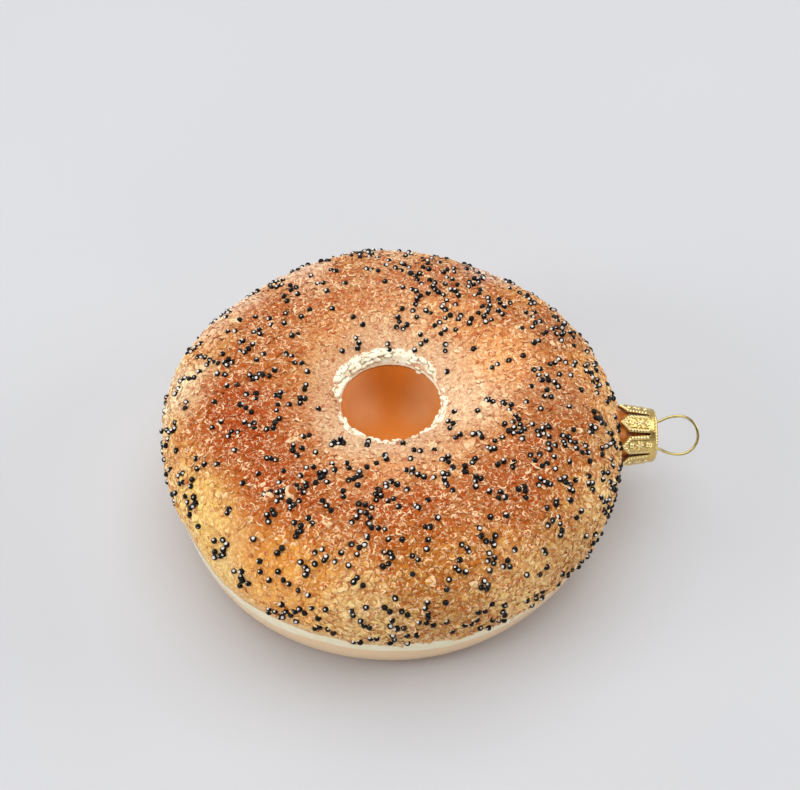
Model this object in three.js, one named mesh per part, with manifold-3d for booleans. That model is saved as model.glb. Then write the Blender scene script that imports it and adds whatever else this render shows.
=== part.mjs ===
// A blown-glass hanging ornament in the shape of a seeded bagel, lying on its flat underside.
// Three pieces: the glass body with its grit, beads and neck, the stamped crown cap on the neck,
// and the spring-wire hanger loop whose legs go through the cap.
// Millimetres, +Z up. The pieces are drawn about the body's own axis, and the group is then moved
// so that the origin is the middle of the underside of the whole.

import * as THREE from 'three';
import { mergeVertices } from 'three/addons/utils/BufferGeometryUtils.js';
import Module from 'manifold-3d';

const wasm = await Module();
wasm.setup();

// ---- Driving dimensions -------------------------------------------------------------------------

// The body, a turned ring form with a blind dish for its hole
const BODY_RADIUS = 44.8;
const BODY_HEIGHT = 32.4;
const EQUATOR_HEIGHT = 18;
const CREST_RADIUS = 27.4;
const BASE_RADIUS = 40.1;
const UPPER_POWER = 2.25;
const LOWER_POWER = 1.9;
const SIDE_LEVELS = [0, 0.35, 1.6, 4, 8];

// The dish in the top, and the shallow one that answers it underneath
const HOLE_RADIUS = 10;
const HOLE_RIM_HEIGHT = 28.2;
const HOLE_DEPTH = 10;
const HOLE_POWER = 2.4;
const DIMPLE_RADIUS = 9;
const DIMPLE_DEPTH = 3;
const DIMPLE_OUTLINE = [[0, 1], [0.45, 0.85], [0.85, 0.35], [1.15, 0]];

// The crust coat of glass grit: its lower edge, how far it stands proud, and its lumps
const COAT_EDGE_HEIGHT = 11.9;
const COAT_THICKNESS = 0.45;
const COAT_LUMP = 0.25;
const COAT_EDGE_WAVE = 1;

// How far the outline is from round: [swells in a turn, height, bearing of one swell in degrees]
const SWELLS = [[2, 0.24, -14], [3, 0.14, 0], [4, 0.21, -7], [5, 0.22, 22], [6, 0.2, -19]];

// The crumbly bead of cream colour round the hole
const CREAM_RADIUS = 10.9;
const CREAM_HALF_WIDTH = 1.15;
const CREAM_HALF_HEIGHT = 0.85;
const CREAM_LUMP = 0.45;
const CREAM_SINK = 0.3;
const CREAM_SLOPE = 0.6;
const CREAM_STEPS = 44;

// Glass beads and chips on the crust
const BEAD_COUNT = 136;
const BEAD_RADIUS = 0.6;
const BEAD_LIFT = 0.18;
const BEAD_SPACING = 5.6;
const CHIP_COUNT = 30;
const CHIP_SIZE = [1.3, 0.9, 0.6];
const CHIP_SPACING = 3;
const SEED = 20;

// The neck, the cap on it, and the loop, along the +X axis at the equator
const NECK_RADIUS = 4.4;
const NECK_FLARE = 1.9;
const NECK_FLARE_LENGTH = 2;
const NECK_END = 51.6;
const NECK_BEVEL = 0.6;
const NECK_CLEARANCE = 9;
const CAP_OPEN_END = 45.4;
const CAP_CLOSED_END = 52.9;
const CAP_OPEN_RADIUS = 6.35;
const CAP_CLOSED_RADIUS = 5.25;
const CAP_WALL = 0.45;
const CAP_SHOULDER = 0.9;
const CAP_FINGERS = 8;
const CAP_TURN = 31.8;
const SLOT_WIDTH = 0.45;
const SLOT_END = 51.3;
const POINT_LENGTH = 1.75;
const ROSETTE_RADIUS = 0.6;
const WIRE_RADIUS = 0.28;
const LOOP_RADIUS = 3.87;
const LOOP_CENTRE = 57.9;
const LOOP_TILT = 39.3;
const LOOP_STRETCH = 1.42;
const LOOP_OPENING = 43;
const LOOP_POINTS = 15;
const LEG_OFFSET = 2.4;
const LEG_END = 52;
const LEG_HOLE_RADIUS = 0.6;

const AROUND = 60;
const CAP_AROUND = 40;
const WIRE_SIDES = 8;
const WIRE_STEPS = 44;

// ---- Small helpers ------------------------------------------------------------------------------

const radians = THREE.MathUtils.degToRad;
const smooth = THREE.MathUtils.smoothstep;

// A repeatable run of numbers from 0 to 1.
function makeRandom(seed) {
  let state = seed;
  return () => {
    state = (state + 0x6D2B79F5) | 0;
    let mixed = Math.imul(state ^ (state >>> 15), 1 | state);
    mixed = (mixed + Math.imul(mixed ^ (mixed >>> 7), 61 | mixed)) ^ mixed;
    return ((mixed ^ (mixed >>> 14)) >>> 0) / 4294967296;
  };
}

// A closed geometry as a solid: shared corners are merged and flat slivers on an axis dropped.
function toSolid(geometry) {
  const bare = geometry.clone();
  bare.deleteAttribute('normal');
  bare.deleteAttribute('uv');
  const merged = mergeVertices(bare, 1e-4);
  const corners = [];
  for (let i = 0; i < merged.index.count; i += 3) {
    const [a, b, c] = [0, 1, 2].map((k) => merged.index.getX(i + k));
    if (a !== b && b !== c && c !== a) corners.push(a, b, c);
  }
  return new wasm.Manifold(new wasm.Mesh({
    numProp: 3,
    vertProperties: Float32Array.from(merged.attributes.position.array),
    triVerts: Uint32Array.from(corners),
  }));
}

function toGeometry(solid) {
  const mesh = solid.getMesh();
  const geometry = new THREE.BufferGeometry();
  geometry.setAttribute('position', new THREE.BufferAttribute(mesh.vertProperties, 3));
  geometry.setIndex(new THREE.BufferAttribute(mesh.triVerts, 1));
  geometry.computeVertexNormals();
  return geometry;
}

// A profile of [radius, height] turned about +Z.
function turned(profile, segments) {
  const points = profile.map(([radius, height]) => new THREE.Vector2(radius, height));
  return new THREE.LatheGeometry(points, segments).rotateX(Math.PI / 2);
}

// A profile of [radius, distance along +X] turned about the neck's axis.
function turnedAlongX(profile, segments) {
  return turned(profile, segments).rotateY(Math.PI / 2).translate(0, 0, EQUATOR_HEIGHT);
}

function eachVertex(geometry, move) {
  const position = geometry.attributes.position;
  const point = new THREE.Vector3();
  for (let i = 0; i < position.count; i += 1) {
    move(point.fromBufferAttribute(position, i));
    position.setXYZ(i, point.x, point.y, point.z);
  }
  return geometry;
}

// `count` steps from 0 to a quarter turn.
function quarter(count) {
  return Array.from({ length: count + 1 }, (_, i) => (i / count) * Math.PI / 2);
}

// ---- The body's surface -------------------------------------------------------------------------

// Side of the body below the equator, flat underside to widest level.
function lowerRadius(height) {
  const down = (EQUATOR_HEIGHT - height) / EQUATOR_HEIGHT;
  return BASE_RADIUS + (BODY_RADIUS - BASE_RADIUS) * (1 - down ** LOWER_POWER) ** (1 / LOWER_POWER);
}

// Rounded shoulder from the equator up to the crest.
function shoulder(angle) {
  const power = 2 / UPPER_POWER;
  return [
    CREST_RADIUS + (BODY_RADIUS - CREST_RADIUS) * Math.cos(angle) ** power,
    EQUATOR_HEIGHT + (BODY_HEIGHT - EQUATOR_HEIGHT) * Math.sin(angle) ** power,
  ];
}

// Slope from the crest down to the rim of the dish.
function innerSlope(angle) {
  return [
    CREST_RADIUS - (CREST_RADIUS - HOLE_RADIUS) * Math.sin(angle),
    HOLE_RIM_HEIGHT + (BODY_HEIGHT - HOLE_RIM_HEIGHT) * Math.cos(angle),
  ];
}

// Wall and floor of the dish, from its rim to the axis.
function dish(angle) {
  const power = 2 / HOLE_POWER;
  const radius = angle < Math.PI / 2 ? HOLE_RADIUS * Math.cos(angle) ** power : 0;
  return [radius, HOLE_RIM_HEIGHT - HOLE_DEPTH * Math.sin(angle) ** power];
}

// The coated surface, from just above the coat's lower edge over the crest to the rim of the dish.
function crustLine(sideSteps, shoulderSteps, slopeSteps) {
  const lowest = COAT_EDGE_HEIGHT + COAT_THICKNESS / 2;
  const side = Array.from({ length: sideSteps }, (_, i) => {
    const height = lowest + (i / sideSteps) * (EQUATOR_HEIGHT - lowest);
    return [lowerRadius(height), height];
  });
  const line = [...side, ...quarter(shoulderSteps).map(shoulder),
    ...quarter(slopeSteps).slice(1).map(innerSlope)];
  return line.map(([radius, height]) => {
    const onSide = smooth(radius, CREST_RADIUS, BODY_RADIUS - 3);
    return [radius + COAT_THICKNESS * onSide, height];
  });
}

function bodyProfile() {
  const floor = DIMPLE_OUTLINE.map(([out, up]) => [DIMPLE_RADIUS * out, DIMPLE_DEPTH * up]);
  const bare = [...SIDE_LEVELS, COAT_EDGE_HEIGHT].map((height) => [lowerRadius(height), height]);
  const bowl = quarter(5).slice(1).map(dish);
  return [...floor, ...bare, ...crustLine(3, 8, 5), ...bowl];
}

// How far the outline stands out at a bearing, fading to nothing at the hole.
function swell(bearing, radius) {
  const height = SWELLS.reduce(
    (sum, [count, size, lead]) => sum + size * Math.cos(count * (bearing - radians(lead))), 0);
  return height * smooth(radius, HOLE_RADIUS, CREST_RADIUS);
}

// Gentle lumps in the crust coat, nothing below its edge or in the dish.
function lumps(bearing, radius, height) {
  const onCoat = smooth(height, COAT_EDGE_HEIGHT, COAT_EDGE_HEIGHT + 3)
    * smooth(radius, CREAM_RADIUS, CREAM_RADIUS + 4);
  const wave = Math.sin(7 * bearing + radius * 0.4) * Math.cos(3 * bearing - height * 0.5)
    + 0.6 * Math.sin(9 * bearing + radius * 0.7);
  return COAT_LUMP * onCoat * wave;
}

// How far the coat's lower edge rises and dips round the side, fading out above and below it.
function edgeWave(bearing, height) {
  const near = 1 - smooth(Math.abs(height - COAT_EDGE_HEIGHT), 0.5, 3);
  return COAT_EDGE_WAVE * near * (Math.sin(3 * bearing + 1) + 0.3 * Math.sin(8 * bearing));
}

// The uneven surface: a point of the true turned form, moved to where the real one is.
function unevenPoint(point) {
  const bearing = Math.atan2(point.y, point.x);
  const radius = Math.hypot(point.x, point.y);
  const rise = lumps(bearing, radius, point.z);
  const lean = smooth(radius, CREST_RADIUS, BODY_RADIUS);
  const grown = radius + swell(bearing, radius) + rise * lean;
  const wave = radius > BASE_RADIUS ? edgeWave(bearing, point.z) : 0;
  point.set(grown * Math.cos(bearing), grown * Math.sin(bearing), point.z + rise * (1 - lean) + wave);
}

// Places on the crust as { point, normal }, spread evenly over its area.
function scatterOnCrust(random, count, spacing) {
  const line = crustLine(8, 40, 40).filter(([radius, height]) =>
    radius > CREAM_RADIUS + 2 * CREAM_HALF_WIDTH && height > COAT_EDGE_HEIGHT + BEAD_RADIUS * 1.5);
  const neck = new THREE.Vector3(BODY_RADIUS, 0, EQUATOR_HEIGHT);
  const places = [];
  while (places.length < count) {
    const i = Math.floor(random() * (line.length - 1));
    const [radius, height] = line[i];
    const along = new THREE.Vector2(line[i + 1][0] - radius, line[i + 1][1] - height);
    const bearing = random() * 2 * Math.PI;
    const weight = radius * along.length() / (BODY_RADIUS * 1.5);
    if (random() > weight) continue;
    const normal = new THREE.Vector3(
      along.y * Math.cos(bearing), along.y * Math.sin(bearing), -along.x).normalize();
    const point = new THREE.Vector3(radius * Math.cos(bearing), radius * Math.sin(bearing), height);
    unevenPoint(point);
    if (point.distanceTo(neck) < NECK_CLEARANCE) continue;
    if (places.some((other) => other.point.distanceTo(point) < spacing)) continue;
    places.push({ point, normal });
  }
  return places;
}

// ---- The pieces of the body ---------------------------------------------------------------------

// A ring on the slope just above the rim, its thickness drawn afresh at each step round.
function creamBead(random) {
  const [, height] = innerSlope(Math.asin((CREST_RADIUS - CREAM_RADIUS) / (CREST_RADIUS - HOLE_RADIUS)));
  const lump = Array.from({ length: CREAM_STEPS }, () => 1 + CREAM_LUMP * (random() - 0.5));
  const ring = new THREE.TorusGeometry(CREAM_RADIUS, 1, 6, CREAM_STEPS);
  eachVertex(ring, (point) => {
    const bearing = Math.atan2(point.y, point.x);
    const step = Math.round((bearing / (2 * Math.PI)) * CREAM_STEPS + CREAM_STEPS) % CREAM_STEPS;
    const out = (Math.hypot(point.x, point.y) - CREAM_RADIUS) * CREAM_HALF_WIDTH * lump[step];
    const radius = CREAM_RADIUS + out;
    point.set(radius * Math.cos(bearing), radius * Math.sin(bearing),
      height - CREAM_SINK + point.z * CREAM_HALF_HEIGHT * lump[step] + out * CREAM_SLOPE);
  });
  return toSolid(ring);
}

function bead(place, random) {
  const ball = new THREE.IcosahedronGeometry(BEAD_RADIUS, 0);
  ball.rotateX(random() * Math.PI).rotateZ(random() * Math.PI);
  const centre = place.point.clone().addScaledVector(place.normal, BEAD_LIFT);
  return toSolid(ball.translate(centre.x, centre.y, centre.z));
}

function chip(place, random) {
  const size = 0.75 + 0.5 * random();
  const flake = new THREE.OctahedronGeometry(1, 0).scale(...CHIP_SIZE.map((s) => s * size));
  flake.rotateZ(random() * Math.PI).rotateX((random() - 0.5) * 0.8);
  flake.applyQuaternion(new THREE.Quaternion().setFromUnitVectors(new THREE.Vector3(0, 0, 1), place.normal));
  return toSolid(flake.translate(place.point.x, place.point.y, place.point.z));
}

function neck() {
  const inside = BODY_RADIUS - 5;
  const flare = BODY_RADIUS - COAT_THICKNESS;
  return toSolid(turnedAlongX([
    [0, inside],
    [NECK_RADIUS + NECK_FLARE, inside],
    [NECK_RADIUS + NECK_FLARE, flare],
    [NECK_RADIUS + NECK_FLARE * 0.3, flare + NECK_FLARE_LENGTH * 0.45],
    [NECK_RADIUS, flare + NECK_FLARE_LENGTH],
    [NECK_RADIUS, NECK_END - NECK_BEVEL],
    [NECK_RADIUS - NECK_BEVEL, NECK_END],
    [0, NECK_END],
  ], 24));
}

function bagelBody() {
  const random = makeRandom(SEED);
  const form = toSolid(eachVertex(turned(bodyProfile(), AROUND), unevenPoint));
  const chips = scatterOnCrust(random, CHIP_COUNT, CHIP_SPACING).map((place) => chip(place, random));
  const beads = scatterOnCrust(random, BEAD_COUNT, BEAD_SPACING).map((place) => bead(place, random));
  const pieces = [neck(), creamBead(random), ...chips, ...beads];
  return toGeometry(pieces.reduce((body, piece) => body.add(piece), form));
}

// ---- The cap ------------------------------------------------------------------------------------

function capRadius(x) {
  const share = (x - CAP_OPEN_END) / (CAP_CLOSED_END - CAP_OPEN_END);
  return CAP_OPEN_RADIUS + (CAP_CLOSED_RADIUS - CAP_OPEN_RADIUS) * share;
}

function capCup() {
  const rim = capRadius(CAP_CLOSED_END - CAP_SHOULDER);
  const round = quarter(4).map((angle) => [
    rim - CAP_SHOULDER + CAP_SHOULDER * Math.cos(angle),
    CAP_CLOSED_END - CAP_SHOULDER + CAP_SHOULDER * Math.sin(angle),
  ]);
  const inner = CAP_SHOULDER - CAP_WALL;
  return toSolid(turnedAlongX([
    [0, CAP_CLOSED_END - CAP_WALL],
    [rim - CAP_SHOULDER, CAP_CLOSED_END - CAP_WALL],
    [rim - CAP_WALL, CAP_CLOSED_END - CAP_WALL - inner],
    [CAP_OPEN_RADIUS - CAP_WALL, CAP_OPEN_END],
    [CAP_OPEN_RADIUS, CAP_OPEN_END],
    ...round,
    [0, CAP_CLOSED_END],
  ], CAP_AROUND));
}

// The gap between two fingers: a narrow slot that opens in a V, so that each finger ends in a point.
function fingerGap() {
  const half = SLOT_WIDTH / 2;
  const pitch = Math.PI * CAP_OPEN_RADIUS / CAP_FINGERS;
  const past = 1;
  const slope = (pitch - half) / POINT_LENGTH;
  const outline = new THREE.Shape();
  outline.moveTo(SLOT_END - half, -half);
  outline.absarc(SLOT_END - half, 0, half, -Math.PI / 2, Math.PI / 2);
  outline.lineTo(CAP_OPEN_END + POINT_LENGTH, half);
  outline.lineTo(CAP_OPEN_END - past, pitch + slope * past);
  outline.lineTo(CAP_OPEN_END - past, -pitch - slope * past);
  outline.lineTo(CAP_OPEN_END + POINT_LENGTH, -half);
  const through = { depth: CAP_OPEN_RADIUS, bevelEnabled: false, curveSegments: 4 };
  return new THREE.ExtrudeGeometry(outline, through).translate(0, 0, NECK_RADIUS - 1);
}

function rosette() {
  const x = (CAP_OPEN_END + SLOT_END) / 2 + 0.4;
  return new THREE.SphereGeometry(ROSETTE_RADIUS, 8, 4).rotateX(Math.PI / 2)
    .scale(1, 1, 0.5).translate(x, 0, capRadius(x));
}

function aroundCap(geometry, degrees) {
  return toSolid(geometry.rotateX(radians(degrees)).translate(0, 0, EQUATOR_HEIGHT));
}

function capCrown() {
  const step = 360 / CAP_FINGERS;
  const first = 90 - CAP_TURN;
  let cap = capCup();
  for (let i = 0; i < CAP_FINGERS; i += 1) {
    cap = cap.subtract(aroundCap(fingerGap(), first + (i + 0.5) * step));
    cap = cap.add(aroundCap(rosette(), first + i * step));
  }
  for (const side of [-1, 1]) {
    const hole = new THREE.CylinderGeometry(LEG_HOLE_RADIUS, LEG_HOLE_RADIUS, 4, 12).rotateZ(Math.PI / 2);
    hole.translate(CAP_CLOSED_END, side * LEG_OFFSET, 0);
    cap = cap.subtract(aroundCap(hole, LOOP_TILT));
  }
  return toGeometry(cap);
}

// ---- The hanger loop ----------------------------------------------------------------------------

// One wire in one tilted plane: straight legs inside the cap, and a round loop drawn out towards it.
function hangerLoop() {
  const arc = Array.from({ length: LOOP_POINTS }, (_, i) => {
    const angle = radians(180 - LOOP_OPENING - i * (360 - 2 * LOOP_OPENING) / (LOOP_POINTS - 1));
    const across = LOOP_RADIUS * Math.cos(angle);
    return [LOOP_CENTRE + across * (across < 0 ? LOOP_STRETCH : 1), LOOP_RADIUS * Math.sin(angle)];
  });
  const legs = [[LEG_END, LEG_OFFSET], [CAP_CLOSED_END + 0.2, LEG_OFFSET]];
  const mirrored = legs.map(([x, y]) => [x, -y]).reverse();
  const route = new THREE.CatmullRomCurve3(
    [...legs, ...arc, ...mirrored].map(([x, y]) => new THREE.Vector3(x, y, 0)), false, 'centripetal');
  const section = new THREE.Shape();
  for (let i = 0; i < WIRE_SIDES; i += 1) {
    const angle = (i / WIRE_SIDES) * 2 * Math.PI;
    const [x, y] = [WIRE_RADIUS * Math.cos(angle), WIRE_RADIUS * Math.sin(angle)];
    if (i === 0) section.moveTo(x, y);
    else section.lineTo(x, y);
  }
  const along = { steps: WIRE_STEPS, bevelEnabled: false, extrudePath: route };
  return toGeometry(aroundCap(new THREE.ExtrudeGeometry(section, along), LOOP_TILT));
}

// ---- The ornament -------------------------------------------------------------------------------

function named(name, geometry, material) {
  const mesh = new THREE.Mesh(geometry, new THREE.MeshStandardMaterial(material));
  mesh.name = name;
  return mesh;
}

const ornament = new THREE.Group();
ornament.add(
  named('bagel_body', bagelBody(), { color: '#d08a4c', roughness: 0.45, metalness: 0 }),
  named('cap_crown', capCrown(), { color: '#c9a04a', roughness: 0.3, metalness: 1 }),
  named('hanger_loop', hangerLoop(), { color: '#d6bd84', roughness: 0.25, metalness: 1 }),
);

const bounds = new THREE.Box3().setFromObject(ornament);
const middle = bounds.getCenter(new THREE.Vector3());
ornament.position.set(-middle.x, -middle.y, -bounds.min.z);

export default ornament;
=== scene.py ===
"""The looks of a blown-glass hanging ornament in the shape of a seeded bagel.

Shapes are worked out in millimetres about the body's own axis, as the CAD model's are, and are
moved to the frame in metres when each mesh is made.
"""

import itertools
import math

import bpy
import numpy as np
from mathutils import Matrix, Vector


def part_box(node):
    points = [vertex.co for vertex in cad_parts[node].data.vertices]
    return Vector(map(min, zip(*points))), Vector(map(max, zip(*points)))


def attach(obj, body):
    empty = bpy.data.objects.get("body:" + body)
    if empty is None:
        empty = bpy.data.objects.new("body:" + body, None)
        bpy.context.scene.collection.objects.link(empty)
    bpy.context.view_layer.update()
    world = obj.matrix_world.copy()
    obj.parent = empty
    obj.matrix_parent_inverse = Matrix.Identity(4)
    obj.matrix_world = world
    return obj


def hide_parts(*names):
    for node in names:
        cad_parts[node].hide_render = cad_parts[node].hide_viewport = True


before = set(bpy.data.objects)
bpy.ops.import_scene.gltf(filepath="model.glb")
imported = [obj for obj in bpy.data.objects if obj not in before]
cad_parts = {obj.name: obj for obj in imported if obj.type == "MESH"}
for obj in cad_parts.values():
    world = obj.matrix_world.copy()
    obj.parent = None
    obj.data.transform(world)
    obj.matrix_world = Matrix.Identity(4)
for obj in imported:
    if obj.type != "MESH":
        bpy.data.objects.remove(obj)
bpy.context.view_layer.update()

# ---- The CAD model's own dimensions, in millimetres ----

BODY_RADIUS = 44.8
BODY_HEIGHT = 32.4
EQUATOR_HEIGHT = 18.0
CREST_RADIUS = 27.4
BASE_RADIUS = 40.1
UPPER_POWER = 2.25
LOWER_POWER = 1.9
HOLE_RADIUS = 10.0
HOLE_RIM_HEIGHT = 28.2
HOLE_DEPTH = 10.0
HOLE_POWER = 2.4
DIMPLE_RADIUS = 9.0
DIMPLE_DEPTH = 3.0
COAT_EDGE_HEIGHT = 11.9
COAT_THICKNESS = 0.45
SWELLS = ((2, 0.24, -14), (3, 0.14, 0), (4, 0.21, -7), (5, 0.22, 22), (6, 0.2, -19))
BEAD_RADIUS = 0.6
NECK_RADIUS = 4.4
NECK_FLARE = 1.9
NECK_END = 51.6
CAP_OPEN_END = 45.4
CAP_CLOSED_END = 52.9
CAP_OPEN_RADIUS = 6.35
CAP_CLOSED_RADIUS = 5.25
CAP_FINGERS = 8
CAP_TURN = 31.8
SLOT_END = 51.3
WIRE_RADIUS = 0.28
LOOP_RADIUS = 3.87
LOOP_CENTRE = 57.9
LOOP_TILT = 39.3
LEG_OFFSET = 2.4
LEG_END = 52.0
LOOP_STRETCH = 1.42
LOOP_OPENING = math.radians(43)

# Where the body's axis stands in the frame, from the box of the loop, which is about the cap's axis
LOOP_LOW, LOOP_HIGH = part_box("hanger_loop")
LOOP_END = LOOP_CENTRE + LOOP_RADIUS + WIRE_RADIUS
AXIS = np.array([LOOP_HIGH.x * 1000 - LOOP_END, (LOOP_LOW.y + LOOP_HIGH.y) * 500, 0.0])

# The photograph's camera: look-at point about the body's axis, distance and elevation
CAMERA_TARGET = (1.8, 17.0, 10.0)
CAMERA_DISTANCE = 300.0
CAMERA_ELEVATION = 50.7
CAMERA_LENS = 63.3

SEED = 7


# ---- Meshes ----

def smoothstep(value, low, high):
    share = np.clip((value - low) / (high - low), 0, 1)
    return share * share * (3 - 2 * share)


def add_object(name, data):
    made = bpy.data.objects.new(name, data)
    bpy.context.scene.collection.objects.link(made)
    return made


def make_mesh(name, points, faces, material, slot, smooth=True, **values):
    """A piece from points in millimetres about the body's axis, riding on the ornament.

    Each list in `values` becomes an attribute of the points or of the faces, as its length says.
    """
    mesh = bpy.data.meshes.new(name)
    placed = (np.asarray(points, float) + AXIS) / 1000
    faces = [np.asarray(block) for block in faces]
    sizes = np.concatenate([np.full(len(block), block.shape[1]) for block in faces])
    corners = np.concatenate([block.ravel() for block in faces])
    mesh.vertices.add(len(placed))
    mesh.vertices.foreach_set("co", placed.ravel())
    mesh.loops.add(len(corners))
    mesh.loops.foreach_set("vertex_index", corners.astype(np.int32))
    mesh.polygons.add(len(sizes))
    mesh.polygons.foreach_set("loop_start", (np.cumsum(sizes) - sizes).astype(np.int32))
    mesh.polygons.foreach_set("use_smooth", np.full(len(sizes), smooth))
    for label, value in values.items():
        domain = "POINT" if len(value) == len(placed) else "FACE"
        mesh.attributes.new(label, "FLOAT", domain).data.foreach_set("value", np.asarray(value, float))
    mesh.update(calc_edges=True)
    mesh.validate()
    mesh.materials.append(material)
    piece = add_object(name, mesh)
    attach(piece, "root")
    return piece


def grid_faces(rows, columns, closed_rows=False):
    """Quads of a grid that closes round its columns, and round its rows where asked."""
    row = np.arange(rows if closed_rows else rows - 1)[:, None]
    column = np.arange(columns)
    below, above = row * columns, ((row + 1) % rows) * columns
    after = (column + 1) % columns
    return np.stack([below + column, below + after, above + after, above + column], -1).reshape(-1, 4)


def fan_faces(tip, ring, outward):
    """Triangles from one point to a closed ring of points."""
    tips, after = np.full(len(ring), tip), np.roll(ring, -1)
    return np.stack((tips, ring, after) if outward else (tips, after, ring), -1)


def tube_faces(rows, columns):
    """A grid that closes round its columns, and a fan at each end to one of the last two points."""
    ring, count = np.arange(columns), rows * columns
    return [
        grid_faces(rows, columns),
        fan_faces(count, ring, outward=False),
        fan_faces(count + 1, count - columns + ring, outward=True),
    ]


def unit(vectors):
    return vectors / np.linalg.norm(vectors, axis=-1, keepdims=True)


def circle(steps):
    return np.linspace(0, 2 * math.pi, steps, endpoint=False)


def stack(*parts):
    """Rows whose columns are the parts."""
    return np.stack(np.broadcast_arrays(*parts), -1)


def join(*blocks):
    return np.concatenate(blocks)


def polar(radius, bearing, height):
    """Points about the body's axis."""
    return stack(radius * np.cos(bearing), radius * np.sin(bearing), height)


def about_neck(x, radius, turn):
    """Points about the neck's axis, which runs along +X, before they are raised to its height."""
    return stack(x, radius * np.cos(turn), radius * np.sin(turn))


def waves(points, size, seed):
    """A smooth random field of about -1 to 1 whose lumps measure `size`."""
    count = 24
    draw = np.random.default_rng(seed)
    heading = unit(draw.normal(size=(count, 3)))
    heading *= (2 * math.pi / size) * draw.uniform(0.6, 1.4, (count, 1))
    phase = draw.uniform(0, 2 * math.pi, count)
    total = np.zeros(len(points))
    for k in range(count):
        total += np.sin(points @ heading[k] + phase[k])
    return total / math.sqrt(count / 2) / 2


# ---- The body's surface ----

def quarter(steps):
    return np.linspace(0, math.pi / 2, steps + 1)


def lower_side(heights):
    down = np.clip((EQUATOR_HEIGHT - heights) / EQUATOR_HEIGHT, 0, 1)
    radius = BASE_RADIUS + (BODY_RADIUS - BASE_RADIUS) * (1 - down ** LOWER_POWER) ** (1 / LOWER_POWER)
    return stack(radius, heights)


def shoulder(angles):
    power = 2 / UPPER_POWER
    radius = CREST_RADIUS + (BODY_RADIUS - CREST_RADIUS) * np.cos(angles).clip(0) ** power
    height = EQUATOR_HEIGHT + (BODY_HEIGHT - EQUATOR_HEIGHT) * np.sin(angles) ** power
    return stack(radius, height)


def inner_slope(angles):
    return stack(CREST_RADIUS - (CREST_RADIUS - HOLE_RADIUS) * np.sin(angles),
                 HOLE_RIM_HEIGHT + (BODY_HEIGHT - HOLE_RIM_HEIGHT) * np.cos(angles))


def dish(angles, inset=0.0):
    """Wall and floor of the dish, from its rim to the axis, pushed into the body by `inset`."""
    power = 2 / HOLE_POWER
    return stack((HOLE_RADIUS + inset) * np.cos(angles).clip(0) ** power,
                 HOLE_RIM_HEIGHT - (HOLE_DEPTH + inset) * np.sin(angles) ** power)


def even(line, steps):
    """The same outline with its points spaced evenly."""
    travelled = join([0], np.cumsum(np.linalg.norm(np.diff(line, axis=0), axis=1)))
    wanted = np.linspace(0, travelled[-1], steps)
    return stack(*(np.interp(wanted, travelled, column) for column in line.T))


def swell(bearing, radius):
    height = sum(size * np.cos(count * (bearing - math.radians(lead))) for count, size, lead in SWELLS)
    return height * smoothstep(radius, HOLE_RADIUS, CREST_RADIUS)


# The crust's outline from the coat's lower edge to the rim of the dish, and its outward normals
CRUST_LINE = even(join(
    lower_side(np.linspace(COAT_EDGE_HEIGHT - 2, EQUATOR_HEIGHT, 30))[:-1],
    shoulder(quarter(120))[:-1],
    inner_slope(quarter(120)),
), steps=600)
CRUST_STEP = np.linalg.norm(CRUST_LINE[1] - CRUST_LINE[0])
CRUST_LENGTH = CRUST_STEP * (len(CRUST_LINE) - 1)
CRUST_NORMAL = unit(np.gradient(CRUST_LINE, axis=0)) @ [[0, -1], [1, 0]]


def on_line(along, table):
    """Both columns of a table of the crust's outline, at distances up it."""
    place, steps = along / CRUST_STEP, np.arange(len(table))
    return [np.interp(place, steps, column) for column in table.T]


def crust_relief(points):
    """Height of the coat's lumps and hollows over its mean surface."""
    return 0.16 * waves(points, 9.0, 11) + 0.09 * waves(points, 3.2, 12) + 0.05 * waves(points, 1.3, 13)


def crust_point(along, bearing, lift):
    """Points and outward normals on the crust: distance up its outline, bearing, and height above."""
    radius, height = on_line(along, CRUST_LINE)
    base = polar(radius + swell(bearing, radius), bearing, height)
    out, up = on_line(along, CRUST_NORMAL)
    normal = unit(polar(out, bearing, up))
    return base + normal * (lift + crust_relief(base))[..., None], normal


# The bare stretch of the coat's edge at the front left: rise, and bearing and reach in degrees
BARE_EDGE = (6.0, 212, 10.5)


def coat_edge(bearing):
    """How far up the outline the coat starts: a wandering, stepped edge with a bare stretch."""
    slow = np.sin(3 * bearing + 1) + 0.3 * np.sin(8 * bearing)
    ragged = 0.12 * np.sin(31 * bearing + 2) * np.sin(7 * bearing)
    ragged = ragged + 0.1 * np.sign(np.sin(17 * bearing + 1))
    rise, middle, reach = BARE_EDGE
    return 2.0 + slow + ragged + rise * np.exp(-((np.degrees(bearing) % 360 - middle) / reach) ** 2)


# ---- Materials ----

def linear(display):
    """A linear colour from a display colour of 0 to 255."""
    shares = [value / 255 for value in display]
    return (*(s / 12.92 if s <= 0.04045 else ((s + 0.055) / 1.055) ** 2.4 for s in shares), 1.0)


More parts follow.
